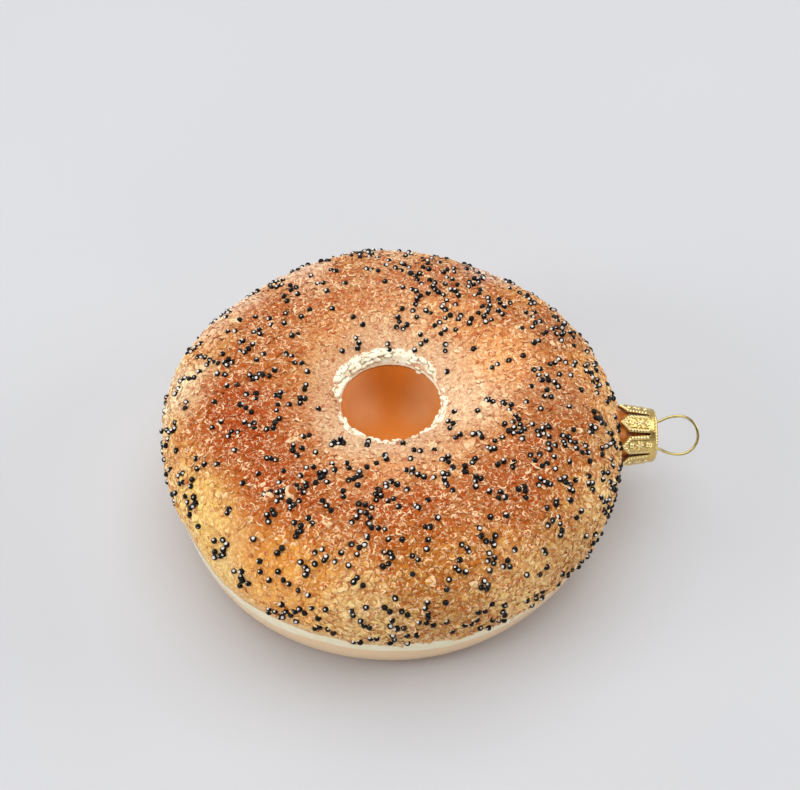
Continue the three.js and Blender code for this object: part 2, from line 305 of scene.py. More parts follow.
class Paint:
    """A node material built up call by call."""

    def __init__(self, name):
        self.material = bpy.data.materials.new(name)
        self.material.use_nodes = True
        self.tree = self.material.node_tree
        self.shader = self.tree.nodes["Principled BSDF"]
        self.position = self.node("ShaderNodeTexCoord").outputs["Object"]

    def node(self, kind, inputs=None, **settings):
        made = self.tree.nodes.new(kind)
        for name, value in settings.items():
            setattr(made, name, value)
        for name, value in (inputs or {}).items():
            self.feed(made.inputs[name], value)
        return made

    def feed(self, socket, value):
        if isinstance(value, bpy.types.NodeSocket):
            self.tree.links.new(value, socket)
        else:
            socket.default_value = value

    def set(self, **inputs):
        for name, value in inputs.items():
            self.feed(self.shader.inputs[name.replace("_", " ")], value)
        return self.material

    def math(self, operation, first, second):
        return self.node("ShaderNodeMath", {0: first, 1: second}, operation=operation).outputs[0]

    def vector(self, operation, first, second):
        return self.node("ShaderNodeVectorMath", {0: first, 1: second}, operation=operation)

    def noise(self, size, detail=2.0):
        """Soft noise from 0 to 1 whose lumps measure about `size` millimetres."""
        return self.node("ShaderNodeTexNoise", {
            "Vector": self.position, "Scale": 1000 / size, "Detail": detail,
        }).outputs["Fac"]

    def cells(self, size):
        """How far the nearest of scattered points is, in shares of `size` millimetres."""
        return self.node(
            "ShaderNodeTexVoronoi", {"Vector": self.position, "Scale": 1000 / size}).outputs["Distance"]

    def attribute(self, label):
        return self.node("ShaderNodeAttribute", attribute_name=label).outputs["Fac"]

    def sway(self, size, reach):
        """Soft noise of at most half of `reach` either way."""
        return self.math("MULTIPLY", self.math("SUBTRACT", self.noise(size, 3), 0.5), reach)

    def span(self, value, low, high, start=0.0, end=1.0):
        """`value` from low..high to start..end, with soft ends."""
        return self.node("ShaderNodeMapRange", {
            "Value": value, "From Min": low, "From Max": high, "To Min": start, "To Max": end,
        }, interpolation_type="SMOOTHSTEP").outputs["Result"]

    def spots(self, size, detail, low, high, start=0.0, end=1.0):
        """Noise taken from low..high to start..end."""
        return self.span(self.noise(size, detail), low, high, start, end)

    def mix(self, share, first, second):
        """A blend of two colours, each an output of a node or a display colour."""
        made = self.node("ShaderNodeMix", data_type="RGBA")
        self.feed(made.inputs["Factor"], share)
        for socket, colour in zip(made.inputs[6:8], (first, second)):
            self.feed(socket, linear(colour) if isinstance(colour, tuple) else colour)
        return made.outputs[2]

    def ramp(self, value, stops):
        made = self.node("ShaderNodeValToRGB", {"Fac": value})
        elements = made.color_ramp.elements
        for k, (place, colour) in enumerate(stops):
            element = elements[k] if k < 2 else elements.new(place)
            element.position = place
            element.color = linear(colour)
        return made.outputs["Color"]

    def bump(self, size, strength, distance):
        """Bumps of `size` and `distance` millimetres across and high."""
        return self.node("ShaderNodeBump", {
            "Height": self.noise(size), "Strength": strength, "Distance": distance / 1000,
        }).outputs["Normal"]

    def from_axis(self):
        """Place about the body's axis in millimetres, with no height, and distance from the axis."""
        about = self.vector("SUBTRACT", self.position, tuple(AXIS / 1000)).outputs[0]
        flat = self.vector("MULTIPLY", about, (1000, 1000, 0)).outputs[0]
        return flat, self.vector("LENGTH", flat, (0, 0, 0)).outputs["Value"]

    def height(self):
        part = self.node("ShaderNodeSeparateXYZ", {0: self.position})
        return self.math("MULTIPLY", part.outputs["Z"], 1000)


# Toasted colour of the crust by distance from the axis, in millimetres
CRUST_RINGS = (
    (9, (234, 206, 172)), (15, (229, 194, 150)), (19.5, (221, 163, 104)), (24, (201, 131, 72)),
    (29, (187, 119, 64)), (35, (190, 120, 56)), (40, (220, 160, 82)), (45.5, (255, 222, 146)),
)
RING_SPAN = 50.0

# Soft patches over the rings: x, y, reach in millimetres, strength and colour. The whitish patches
# along the back rim, from about x = 22 round to x = -37, are painted sheen for the grit's glints seen
# at a grazing angle, and the pale patch on the left rim at x = -44 is painted light from the left
CRUST_PATCHES = (
    (-14, 4, 13, 0.5, (214, 162, 104)), (-22, 4, 10, 0.7, (190, 116, 48)),
    (15, -2, 12, 0.85, (252, 222, 178)), (-7, -12, 8, 0.6, (238, 212, 172)),
    (2, -17, 6, 0.5, (230, 180, 128)), (-29, -6, 15, 0.8, (164, 60, 6)),
    (-25, -15, 12, 0.65, (164, 62, 6)), (-18, -9, 8, 0.5, (192, 112, 52)),
    (-19, -25, 14, 0.65, (166, 72, 14)), (2, -29, 12, 0.65, (168, 70, 8)),
    (0, -20, 6, 0.5, (236, 168, 108)), (6, -35, 12, 0.6, (180, 102, 28)),
    (24, -22, 14, 0.65, (160, 76, 18)), (36, -9, 12, 0.65, (154, 90, 38)),
    (45, 0, 8, 0.4, (202, 152, 98)), (33, 18, 12, 0.75, (158, 100, 58)),
    (-24, 20, 12, 0.5, (182, 112, 58)), (12, 33, 10, 0.4, (180, 144, 112)),
    (22, 34, 9, 0.5, (206, 180, 160)), (-4, 38, 14, 0.5, (194, 140, 86)),
    (-20, 36, 10, 0.9, (244, 228, 206)), (22, 37, 9, 0.85, (238, 222, 202)),
    (0, 42, 9, 0.7, (230, 202, 170)), (-37, 21, 10, 0.7, (252, 228, 194)),
    (22, 9, 12, 0.7, (252, 188, 118)), (14, 19, 9, 0.5, (244, 180, 112)),
    (0, 29, 14, 0.3, (232, 186, 138)), (-17, 29, 9, 0.5, (234, 190, 146)),
    (33, 0, 9, 0.4, (196, 152, 110)), (-6, 11, 6, 0.4, (206, 152, 96)),
    (6, 15, 8, 0.5, (236, 194, 144)), (13, 9, 7, 0.5, (250, 214, 166)),
    (-44, 4, 12, 0.9, (255, 242, 198)), (-38, -26, 13, 0.7, (255, 226, 134)),
    (-20, -41, 14, 0.65, (255, 178, 72)), (10, -43, 15, 0.65, (194, 132, 46)),
    (36, -30, 13, 0.6, (182, 130, 56)), (-34, 32, 13, 0.75, (255, 244, 222)),
)


def crust_colour(paint):
    """The toasted colour of the crust, paler where the coat thins out at its lower edge.

    Some of its patches are painted sheen and painted light.
    """
    flat, radius = paint.from_axis()
    place = paint.math("DIVIDE", paint.math("ADD", radius, paint.sway(9, 11)), RING_SPAN)
    colour = paint.ramp(place, [(at / RING_SPAN, tone) for at, tone in CRUST_RINGS])
    blur = paint.sway(7, 10)
    for x, y, reach, strength, tone in CRUST_PATCHES:
        away = paint.vector("DISTANCE", flat, (x, y, 0)).outputs["Value"]
        share = paint.span(paint.math("ADD", away, blur), 0.2 * reach, reach, strength, 0)
        colour = paint.mix(share, colour, tone)
    ragged = paint.spots(6, 2, 0.3, 0.7, -1.5, 1.5)
    above = paint.math("ADD", paint.attribute("above"), ragged)
    return paint.mix(paint.span(above, 0.4, 4.2, 0.85, 0), colour, (232, 204, 150))


def coat_paint():
    """The glaze between the grains: deep orange in its pits, with pale dust."""
    paint = Paint("crust_coat")
    colour = crust_colour(paint)
    deep = paint.mix(0.5, colour, (180, 70, 8))
    colour = paint.mix(paint.span(paint.cells(0.7), 0.15, 0.6, 0, 0.8), colour, deep)
    dust = paint.spots(0.7, 2, 0.54, 0.68, 0, 0.35)
    colour = paint.mix(dust, colour, (255, 220, 170))
    return paint.set(Base_Color=colour, Roughness=0.3, IOR=1.12, Normal=paint.bump(0.7, 0.5, 0.16))


def grit_paint():
    """Grains of clear glass in the crust's own colour, with painted highlights and painted shade.

    `shade` makes some deeper, a painted highlight lies on one side of each grain's `rim`, the rest of
    the rim has painted shade where the coat is thick, and painted highlights lie on single facets.
    """
    paint = Paint("clear_grit")
    rim, glow, shade, facet, above = (
        paint.attribute(label) for label in ("rim", "glow", "shade", "facet", "above"))
    under = crust_colour(paint)
    deep = paint.mix(0.7, under, (178, 64, 6))
    colour = paint.mix(paint.span(shade, 0, 0.9), deep, under)
    # Painted shade on the side of each grain's rim away from its painted highlight, weaker near the
    # coat's edge
    painted_rim_shade = paint.math("MULTIPLY", paint.span(rim, 0.6, 0.95), paint.span(glow, 0, 0.2, 1, 0))
    painted_rim_shade = paint.math("MULTIPLY", painted_rim_shade, paint.span(above, 1, 7, 0.15, 0.6))
    colour = paint.mix(painted_rim_shade, colour, (140, 58, 14))
    # Painted highlights: a pale tint of the crust's colour on one side of each rim and on single facets
    highlight_colour = paint.mix(0.2, (255, 221, 176), under)
    painted_rim_highlight = paint.math("MULTIPLY", glow, paint.span(rim, 0.5, 0.8))
    colour = paint.mix(paint.span(painted_rim_highlight, 0.15, 0.75), colour, highlight_colour)
    colour = paint.mix(facet, colour, highlight_colour)
    return paint.set(Base_Color=colour, Roughness=0.18, IOR=1.13)


def neck_paint():
    """Clear glass over orange, with the crust's grain pressed into it."""
    paint = Paint("neck_glaze")
    share = paint.spots(1.4, 3, 0.35, 0.7)
    return paint.set(
        Base_Color=paint.mix(share, (172, 88, 30), (228, 142, 64)), Roughness=0.25, IOR=1.5,
        Normal=paint.bump(0.6, 0.7, 0.25))


def bead_paint():
    """Black glass, here and there greenish or brown, with a painted glint on each bead's upper side."""
    paint = Paint("black_beads")
    tones = ((0.0, (8, 7, 8)), (0.85, (12, 11, 11)), (0.94, (24, 30, 26)), (1.0, (60, 38, 22)))
    colour = paint.ramp(paint.attribute("shade"), tones)
    uneven = paint.math("MULTIPLY", paint.noise(0.3, 1), 0.14)
    glint = paint.math("ADD", paint.attribute("glint"), uneven)
    # Painted glint: a pale patch with a ragged edge on the side given for each bead
    colour = paint.mix(paint.span(glint, 0.9, 0.97), colour, (226, 221, 214))
    return paint.set(Base_Color=colour, Roughness=0.1, IOR=1.27)


def cream_paint():
    """Pale paste with painted olive shade in the clefts between its lumps."""
    paint = Paint("cream_paste")
    share = paint.spots(1.2, 3, 0.35, 0.7)
    colour = paint.mix(share, (240, 229, 196), (252, 248, 230))
    # Painted shade: olive darkening in the clefts between the lumps
    cleft = paint.span(paint.attribute("cleft"), 0.15, 0.8, 0, 0.75)
    colour = paint.mix(cleft, colour, (150, 128, 74))
    return paint.set(Base_Color=colour, Roughness=0.5, Normal=paint.bump(0.5, 0.3, 0.1))


def dish_paint():
    """Satin terracotta with specks, a dark line and a pale lip; its walls are painted lighter than the
    floor to offset the shade deep in the dish, and painted reflections make it paler at either side.
    """
    paint = Paint("hole_enamel")
    flat, _ = paint.from_axis()
    height = paint.height()
    # Painted light: the walls are painted lighter than the floor, to offset the shade deep in the dish
    rise = paint.span(height, HOLE_RIM_HEIGHT - HOLE_DEPTH, HOLE_RIM_HEIGHT - 2)
    colour = paint.mix(rise, (212, 126, 47), (232, 146, 60))
    back = paint.node("ShaderNodeSeparateXYZ", {0: flat}).outputs["Y"]
    colour = paint.mix(paint.span(back, -9, 1, 0.75, 0), colour, (178, 136, 92))
    # Painted reflections: paler patches high on the left and right walls
    for side, tone in ((-7.5, (248, 186, 132)), (7.5, (218, 164, 114))):
        away = paint.vector("DISTANCE", flat, (side, 5.5, 0)).outputs["Value"]
        colour = paint.mix(paint.span(away, 1, 7.5, 0.7, 0), colour, tone)
    colour = paint.mix(paint.spots(4, 2, 0.4, 0.7, 0, 0.2), colour, (206, 124, 64))
    colour = paint.mix(paint.span(paint.cells(1.5), 0.0, 0.1, 0.5, 0), colour, (246, 190, 146))
    lip = HOLE_RIM_HEIGHT - 0.2
    line = paint.math("MULTIPLY", paint.span(height, lip - 0.4, lip - 0.15),
                      paint.span(height, lip, HOLE_RIM_HEIGHT, 0.6, 0))
    colour = paint.mix(line, colour, (140, 70, 24))
    colour = paint.mix(paint.span(height, lip, HOLE_RIM_HEIGHT), colour, (246, 200, 162))
    return paint.set(Base_Color=colour, Roughness=0.5, IOR=1.2)


def base_paint():
    """Tan enamel with a cream band of uneven depth under the coat's edge, and painted shade, darker and
    warmer, over its lowest few millimetres by the floor.
    """
    paint = Paint("base_enamel")
    height = paint.height()
    tan = paint.mix(paint.noise(12, 2), (250, 214, 166), (242, 202, 150))
    # Painted shade: the lowest 3.2 mm are darker and warmer, for the shadow and warm bounce by the
    # floor
    tan = paint.mix(paint.span(height, 0, 3.2, 0.7, 0), tan, (226, 168, 108))
    share = paint.spots(2.2, 3, 0.4, 0.7)
    cream = paint.mix(share, (248, 236, 196), (252, 244, 212))
    band = paint.span(paint.math("ADD", height, paint.sway(14, 3.2)), 8.6, 9.4)
    colour = paint.mix(band, tan, cream)
    colour = paint.mix(paint.span(height, 13.5, 15), colour, (200, 130, 70))
    return paint.set(
        Base_Color=colour, Roughness=0.22, IOR=1.5, Coat_Weight=0.5, Coat_Roughness=0.08,
        Normal=paint.bump(3.5, 0.12, 0.4))


def cap_paint():
    """Gilt metal, with painted highlights where the stamp raised it and painted shade in its recesses.
    """
    paint = Paint("cap_gilt")
    relief = paint.attribute("relief")
    tarnish = paint.spots(2.5, 2, 0.4, 0.75, 0, 0.3)
    colour = paint.mix(tarnish, (228, 196, 122), (200, 166, 96))
    # Painted shade in the stamp's recesses and painted highlights on what it raised
    colour = paint.mix(paint.span(relief, -0.1, -0.03, 0.85, 0), colour, (140, 104, 48))
    colour = paint.mix(paint.span(relief, 0.04, 0.1, 0, 0.9), colour, (255, 240, 190))
    return paint.set(
        Base_Color=colour, Metallic=1.0, Roughness=0.26, Normal=paint.bump(0.8, 0.1, 0.04))


def wire_paint():
    """Pale gold-coloured wire with dull spots."""
    paint = Paint("loop_wire")
    dull = paint.spots(1.6, 3, 0.4, 0.75, 0, 0.5)
    return paint.set(
        Base_Color=paint.mix(dull, (196, 178, 118), (152, 134, 82)), Metallic=1.0,
        Roughness=paint.spots(0.7, 3, 0.3, 0.75, 0.15, 0.31),
        Normal=paint.bump(0.5, 0.15, 0.05))


# ---- The glass body, its dish and its neck ----

def turned_mesh(name, line, around, material, slot, uneven=True):
    """A piece turned about the body's axis, from an outline with both ends on the axis."""
    bearing = circle(around)
    radius, height = line[1:-1].T[..., None]
    if uneven:
        radius = radius + swell(bearing, radius)
    points = polar(radius, bearing, height).reshape(-1, 3)
    ends = polar(0, 0, line[[0, -1], 1])
    faces = tube_faces(len(line) - 2, around)
    make_mesh(name, join(points, ends), faces, material, slot)


def glass_body(material):
    """The whole glass, sunk a little under the coat and under the dish's lining."""
    across = quarter(14)
    reach = DIMPLE_RADIUS * 1.15
    dimple = stack(reach * np.sin(across), DIMPLE_DEPTH * (1 + np.cos(2 * across)) / 2)
    under = stack(np.linspace(reach, BASE_RADIUS, 12)[1:], 0)
    side = lower_side(EQUATOR_HEIGHT * (1 - np.cos(quarter(40)))[1:])
    sunk = join(shoulder(quarter(30))[1:], inner_slope(quarter(24))[1:-1]) - [0, 0.3]
    line = join(dimple, under, side, sunk, dish(quarter(24), inset=0.35))
    turned_mesh("glass_body", line, 288, material, "base_enamel")


def dish_lining(material):
    """The enamelled dish: a thin cup whose lip turns out under the cream bead."""
    lip = np.array([[1.2, 0.55], [0.45, 0.5], [0.12, 0.25]]) + [HOLE_RADIUS, HOLE_RIM_HEIGHT]
    line = join(dish(quarter(16), inset=0.3)[::-1], lip, dish(quarter(40)))
    turned_mesh("dish_lining", line, 160, material, "hole_enamel", uneven=False)


def neck(material):
    """The neck's stub, which flares into the body and ends inside the cap."""
    wide, around = NECK_RADIUS + NECK_FLARE, 64
    flare = np.array([
        [0, -4], [wide + 0.3, -4], [wide + 0.3, -0.8], [wide - 0.1, -0.1], [wide - 0.7, 0.7],
        [wide - 1.1, 1.5], [wide - 1.5, 2.6], [NECK_RADIUS, 4]]) + [0, BODY_RADIUS]
    end = np.array([[NECK_RADIUS, NECK_END - 0.5], [NECK_RADIUS - 0.5, NECK_END], [0, NECK_END]])
    radius, x = join(flare, end).T[..., None]
    points = about_neck(x[1:-1], radius[1:-1], circle(around)).reshape(-1, 3)
    points = join(points, about_neck(x[[0, -1], 0], 0, 0)) + [0, 0, EQUATOR_HEIGHT]
    make_mesh("neck", points, tube_faces(len(x) - 2, around), material, "crust_coat")


# ---- The crust coat ----

def crust_coat(material):
    """The coat as a closed slab: its lumpy outer face, and a plain inner face inside the glass."""
    around, steps = 560, 128
    bearing = circle(around)
    start, end = coat_edge(bearing), CRUST_LENGTH - 0.6
    along = start + np.linspace(0, 1, steps)[:, None] * (end - start)
    thick = COAT_THICKNESS * smoothstep(along - start, -0.5, 1.4)
    thick = thick * (1 - 0.6 * smoothstep(along, CRUST_LENGTH - 4, CRUST_LENGTH))
    outer, _ = crust_point(along.ravel(), np.tile(bearing, steps), thick.ravel())
    radius, height = np.array([
        [HOLE_RADIUS + 1.2, HOLE_RIM_HEIGHT - 3],
        [38, EQUATOR_HEIGHT + 2],
        [BODY_RADIUS - 2.4, COAT_EDGE_HEIGHT + 1.8],
    ]).T[..., None]
    inner = polar(radius, bearing, height).reshape(-1, 3)
    above = join((along - start).ravel(), np.zeros(len(inner)))
    faces = grid_faces(steps + len(radius), around, closed_rows=True)
    return make_mesh("crust_coat", join(outer, inner), [faces], material, "crust_coat", above=above)


# ---- Grit, chips and beads ----

# How far grains and beads keep from the inner end of the coat, and from its bare edge
INNER_MARGIN = 1.6
BARE_MARGIN = 2.0


def pebble(sides):
    """A low faceted grain: a rim of `sides` points, and a tip above and below its middle."""
    ring = np.arange(sides)
    heading = ring * 2 * math.pi / sides
    rim = polar(1, heading, 0)
    faces = [fan_faces(sides, ring, outward=True), fan_faces(sides + 1, ring, outward=False)]
    return join(rim, [[0, 0, 1], [0, 0, -1]]), join(*faces)


def ball():
    """A round ball: an icosahedron with each of its triangles split in four."""
    golden = (1 + math.sqrt(5)) / 2
    points = [(x, y * golden, 0) for x in (-1, 1) for y in (-1, 1)]
    points = np.array(points + [(0, x, y) for x, y, _ in points] + [(y, 0, x) for x, y, _ in points])
    points = list(points / np.linalg.norm(points[0]))
    middles, faces = {}, []

    def middle(a, b):
        key = (min(a, b), max(a, b))
        if key not in middles:
            middles[key] = len(points)
            centre = (points[a] + points[b]) / 2
            points.append(centre / np.linalg.norm(centre))
        return middles[key]

    for a, b, c in itertools.combinations(range(12), 3):
        one, other, third = points[a], points[b], points[c]
        if max(math.dist(one, other), math.dist(other, third), math.dist(one, third)) < 1.1:
            if np.dot(np.cross(other - one, third - one), one) <= 0:
                b, c = c, b
            ab, bc, ca = middle(a, b), middle(b, c), middle(c, a)
            faces += [(a, ab, ca), (b, bc, ab), (c, ca, bc), (ab, bc, ca)]
    return np.array(points), np.array(faces)


BALL = ball()


def scatter(draw, count, wanted, low=1.0):
    """Distances up the outline and bearings, by a density, and `low` or more above the coat's edge."""
    along, bearing = np.zeros(0), np.zeros(0)
    tries = 4 * count
    while len(along) < count:
        a = draw.uniform(0, CRUST_LENGTH - INNER_MARGIN, tries)
        b = draw.uniform(0, 2 * math.pi, tries)
        radius = on_line(a, CRUST_LINE)[0]
        x, y = radius * np.cos(b), radius * np.sin(b)
        keep = draw.uniform(0, 1, tries) < wanted(x, y) * radius / BODY_RADIUS
        keep &= a > coat_edge(b) + low + BARE_MARGIN * smooth_side(x, y)
        along, bearing = join(along, a[keep]), join(bearing, b[keep])
    return along[:count], bearing[:count]


def turns(draw, normals, tilt):
    """Axes at random for each thing, whose third leans by about `tilt` from its normal."""
    third = unit(normals + draw.normal(size=normals.shape) * tilt)
    first = unit(np.cross(draw.normal(size=normals.shape), third))
    return np.stack([first, np.cross(third, first), third], 1)


def many(shape, centres, axes, sizes, jitter, draw):
    """Copies of a shape as one run of points and faces, each with its own size, turn and jitter."""
    points, faces = shape
    count = len(centres)
    local = (points + draw.normal(size=(count, *points.shape)) * jitter) * sizes[:, None]
    placed = centres[:, None] + np.einsum("nvk,nkx->nvx", local, axes)
    offset = (np.arange(count) * len(points))[:, None, None]
    return placed.reshape(-1, 3), (faces + offset).reshape(-1, 3)


def rim_and_painted_highlight(draw, shape, strength):
    """How near the rim each point of each grain is, and the painted highlight it has, strongest on one
    side of the rim.
    """
    points = shape[0]
    rim = np.linalg.norm(points[:, :2], axis=1)
    heading = np.arctan2(points[:, 1], points[:, 0])
    side = np.cos(heading - draw.uniform(-math.pi, math.pi, len(strength))[:, None])
    share = np.where(rim > 0.1, np.clip(0.35 + 0.75 * side, 0, 1), 0.4)
    return np.tile(rim, len(strength)), (strength[:, None] * share).ravel()


# The share of facets that hold no painted highlight
FACETS_WITHOUT_HIGHLIGHT = 0.72


def lit_facets(draw, shape, strength):
    """The painted highlight on the facets of each grain: none on most, much on a few."""
    chance = draw.uniform(0, 1, (len(strength), len(shape[1])))
    light = ((chance - FACETS_WITHOUT_HIGHLIGHT) / (1 - FACETS_WITHOUT_HIGHLIGHT)).clip(0, 1) ** 0.6
    return (strength[:, None] * light).clip(0, 1).ravel()


def smooth_side(x, y):
    """1 over the front left of the rim, where the glaze is nearly bare, and 0 elsewhere."""
    along_rim = np.exp(-(((x + 30) * 0.8 - (y + 34) * 0.6) / 22) ** 2)
    return along_rim * smoothstep(-(x * 0.65 + y * 0.76), 30, 42)


def fine_density(x, y):
    return 1 - 0.85 * smooth_side(x, y)


def coarse_density(x, y):
    return (0.1 + 0.9 * smoothstep(np.hypot(x, y), 14, 24)) * (1 - 0.9 * smooth_side(x, y))


# The kinds of crushed glass: sides and count; ranges of length, and of width and height as shares of
# it; jitter, range of lift and tilt; density and range of the painted highlight's strength
GRIT = (
    ("grit_fine", 4, 17000, (0.4, 0.85), (0.6, 1.0), (0.3, 0.6),
     0.16, (-0.06, 0.06), 0.35, fine_density, (0.2, 1.1)),
    ("grit_medium", 6, 13000, (0.8, 1.7), (0.5, 0.95), (0.25, 0.42),
     0.15, (-0.04, 0.14), 0.24, coarse_density, (0.35, 1.2)),
    ("grit_splinters", 4, 1500, (1.1, 2.1), (0.18, 0.34), (0.15, 0.3),
     0.16, (0.02, 0.18), 0.3, coarse_density, (0.5, 1.2)),
    ("grit_coarse", 8, 2000, (1.2, 2.2), (0.6, 0.95), (0.3, 0.45),
     0.1, (-0.05, 0.12), 0.3, coarse_density, (0.6, 1.3)),
)


def grit(name, sides, count, length, width, height, jitter, lift, tilt, wanted, glow, material, seed):
    """One kind of crushed glass, as a row of GRIT says."""
    draw = np.random.default_rng(seed)
    shape = pebble(sides)
    along, bearing = scatter(draw, count, wanted)
    centres, normals = crust_point(along, bearing, COAT_THICKNESS + draw.uniform(*lift, count))
    half = draw.uniform(*length, count) / 2
    sizes = stack(half, half * draw.uniform(*width, count), half * draw.uniform(*height, count))
    points, faces = many(shape, centres, turns(draw, normals, tilt), sizes, jitter, draw)
    strength = glow[0] + (glow[1] - glow[0]) * draw.uniform(0, 1, count) ** 1.2
    shade = draw.uniform(0, 1, count).repeat(len(shape[0]))
    rim, light = rim_and_painted_highlight(draw, shape, strength)
    above = (along - coat_edge(bearing)).repeat(len(shape[0]))
    make_mesh(name, points, [faces], material, "clear_grit", smooth=False, rim=rim, glow=light,
              shade=shade, above=above, facet=lit_facets(draw, shape, strength))


# The largest flakes: bearing in degrees, distance from the axis and length in millimetres
CHIPS = (
    (234, 30.5, 3.2), (229, 33.5, 2.6), (214, 22.5, 2.4), (250, 33, 2.2), (262, 35, 2.4),
    (300, 24, 2.3), (318, 20, 2.6), (196, 34, 2.0), (280, 41, 2.3), (120, 29, 2.2), (75, 31, 2.2),
    (20, 34, 2.0), (345, 36, 2.1), (150, 36, 2.3),
)


def chips(material):
    """The largest flakes, brighter than the grit through stronger painted highlights, and lying well
    above the coat's edge.
    """
    draw = np.random.default_rng(SEED + 5)
    bearing, radius, length = np.array(CHIPS).T
    count, half = len(CHIPS), length / 2
    widest = CRUST_LINE[:, 0].argmax()
    steps = np.interp(-radius, -CRUST_LINE[widest:, 0], np.arange(widest, len(CRUST_LINE)))
    centres, normals = crust_point(
        steps * CRUST_STEP, np.radians(bearing), np.full(count, COAT_THICKNESS + 0.25))
    sizes = stack(half, half * draw.uniform(0.55, 0.8, count), half * draw.uniform(0.3, 0.45, count))
    points, faces = many(BALL, centres, turns(draw, normals, 0.25), sizes, 0.1, draw)
    # Stronger painted highlights than the grit's, over more of each flake's rim
    strength = np.full(count, 1.1)
    rim, light = rim_and_painted_highlight(draw, BALL, strength)
    each = np.ones(len(points))
    make_mesh("chips", points, [faces], material, "clear_grit", smooth=False, rim=0.35 + 0.65 * rim,
              glow=0.2 + light, shade=each, above=9 * each, facet=lit_facets(draw, BALL, strength))


# Where the beads lie thick and thin: x, y, reach in millimetres and how much the density changes
BEAD_PATCHES = (
    (-31, 8, 9, 1.0), (-26, -10, 9, 1.6), (-14, -34, 12, 1.0), (8, -38, 12, 1.5), (34, -18, 11, 2.8),
    (37, 4, 9, 1.0), (18, 28, 9, 2.0), (-4, 38, 10, 0.8), (-26, 24, 9, 0.5), (-36, -22, 10, -0.5),
    (20, 10, 9, -0.6), (2, -17, 8, 0.2), (-13, -23, 7, 2.8), (14, -28, 7, 0.4), (-30, -33, 9, -0.6),
    (-20, -41, 8, -0.5), (-22, 1, 7, 0.5), (10, 19, 6, 1.0), (22, -13, 7, 0.9), (0, -28, 8, 1.2),
    (-16, 29, 7, -0.8), (41, 25, 7, -1.0), (22, 38, 7, -2.0), (-10, 18, 6, -1.5), (-29, 0, 6, 1.2),
    (32, 18, 7, 2.0), (22, 13, 6, -1.5), (33, 2, 6, 0.8), (-18, 0, 5, -1.5), (17, -10, 5, -1.0),
)

# The density of heaps away from the patches, what a change of 1 adds to it, and its limit
BEADS_PLAIN = 0.42
BEADS_CHANGE = 0.28
BEADS_MOST = 1.4

# The side of each bead that holds its painted glint
PAINTED_GLINT_SIDE = np.array([-0.3, -0.35, 0.88])

# How many heaps there are, how many beads one may have and the share of each kind
HEAPS = 840
HEAP_BEADS = (1, 2, 3, 5, 8)
HEAP_SHARES = (0.5, 0.24, 0.13, 0.09, 0.04)

# In bead radii: the step from a bead to the next in its heap, and the least between any two
BEAD_STEP = 2.05
BEAD_GAP = 1.9

# How far the beads keep from the middle of the neck's root and from the hole's rim
NECK_CLEAR = 6.6
HOLE_CLEAR = 1.7


def bead_density(x, y):
    density = np.full(len(x), BEADS_PLAIN)
    for px, py, reach, change in BEAD_PATCHES:
        density += BEADS_CHANGE * change * np.exp(-((x - px) ** 2 + (y - py) ** 2) / reach ** 2)
    return density.clip(0.04, BEADS_MOST) / BEADS_MOST


def bead_places(draw):
    """Distances up the outline and bearings of beads that lie alone, in pairs and in small heaps."""
    along, bearing = scatter(draw, HEAPS, bead_density, low=1.2)
    heaps = draw.choice(HEAP_BEADS, HEAPS, p=HEAP_SHARES)
    placed, spots = [], np.empty((0, 2))
    for a, b, count in zip(along, bearing, heaps):
        for _ in range(count):
            radius = on_line(a, CRUST_LINE)[0]
            spot = np.array([a, b * radius])
            if (np.hypot(*(spots - spot).T) > BEAD_GAP * BEAD_RADIUS).all():
                spots = np.append(spots, [spot], axis=0)
                placed.append((a, b))
            heading = draw.uniform(0, 2 * math.pi)
            step = BEAD_STEP * BEAD_RADIUS
            a = np.clip(a + step * math.cos(heading), coat_edge(b) + 1, CRUST_LENGTH - 1.8)
            b = b + step * math.sin(heading) / max(radius, HOLE_RADIUS)
    return np.array(placed).T


def beads(material):
    """Glass beads, a little squat, that sink into the coat and touch in their heaps."""
    draw = np.random.default_rng(SEED)
    along, bearing = bead_places(draw)
    radii = BEAD_RADIUS * draw.uniform(0.9, 1.06, len(along))
    lift = COAT_THICKNESS + radii * draw.uniform(0.2, 0.55, len(radii))
    centres, normals = crust_point(along, bearing, lift)
    clear = np.linalg.norm(centres - [BODY_RADIUS, 0, EQUATOR_HEIGHT], axis=1) > NECK_CLEAR
    clear &= np.linalg.norm(centres[:, :2], axis=1) > HOLE_RADIUS + HOLE_CLEAR
    centres, normals, radii = centres[clear], normals[clear], radii[clear]
    squat = radii[:, None] * draw.uniform(0.94, 1.04, (len(radii), 3))
    points, faces = many(BALL, centres, turns(draw, normals, 0.3), squat, 0, draw)
    shade = draw.uniform(0, 1, len(radii)).repeat(len(BALL[0]))
    # The painted glint's side and size for each bead, and how far each point lies towards it
    towards = unit(PAINTED_GLINT_SIDE + draw.normal(size=centres.shape) * 0.3)
    towards *= draw.uniform(0.87, 1.08, (len(radii), 1))
    offsets = (points.reshape(len(radii), -1, 3) - centres[:, None]) / radii[:, None, None]
    glint = np.einsum("nvk,nk->nv", offsets, towards).ravel()
    make_mesh("beads", points, [faces], material, "black_beads", shade=shade, glint=glint)


# ---- The cream bead round the hole ----

# The paste: half its width in millimetres, the grid it is merged on in metres, how many crumbs are
# tried and how strongly the painted shade in its clefts shows
CREAM_REACH = 1.15
CREAM_VOXEL = 0.00012
CRUMBS = 185
CLEFT_GAIN = 18

# The smooth flap, which has no crumbs: bearing and reach in degrees, and its limit across the ribbon
FLAP = (162, 15, 0.3)

